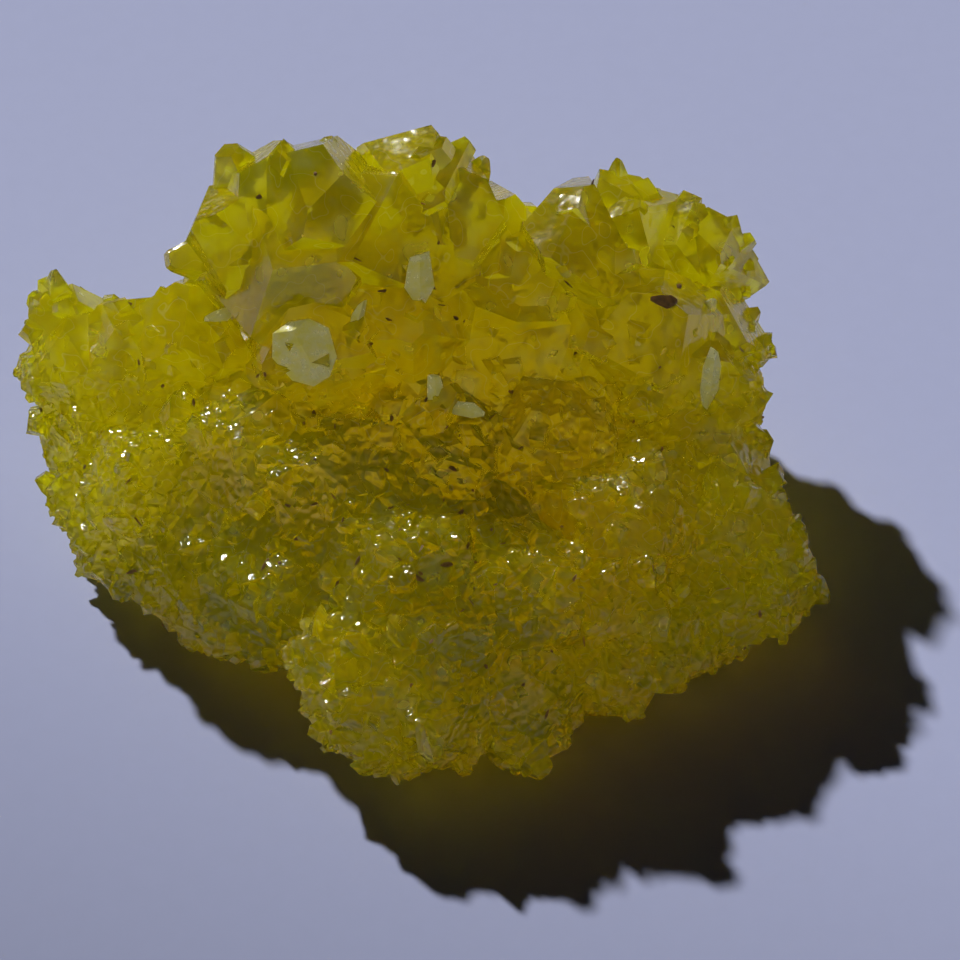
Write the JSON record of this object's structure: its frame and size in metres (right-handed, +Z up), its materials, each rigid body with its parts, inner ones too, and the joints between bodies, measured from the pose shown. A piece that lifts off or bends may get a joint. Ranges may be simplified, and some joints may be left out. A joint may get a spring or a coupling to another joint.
{
  "type": "native sulfur crystal cluster",
  "caption": "Lump of yellow, see-through native sulfur crystals grown together: a high blocky back, a low arm at one side, and a finer sloping front on a flat broken foot.",
  "frame": {"origin": "middle of the bounding box's bottom, on the plane of the flat foot", "axes": "+X along the long side to the right, +Y from the low fine front to the high back, +Z up"},
  "size_m": [0.041, 0.031, 0.0224],
  "materials": {
    "sulfur": "glossy crystal faces, translucent"
  },
  "bodies": {
    "root": {"sulfur_cluster": "sulfur"}
  },
  "joints": []
}
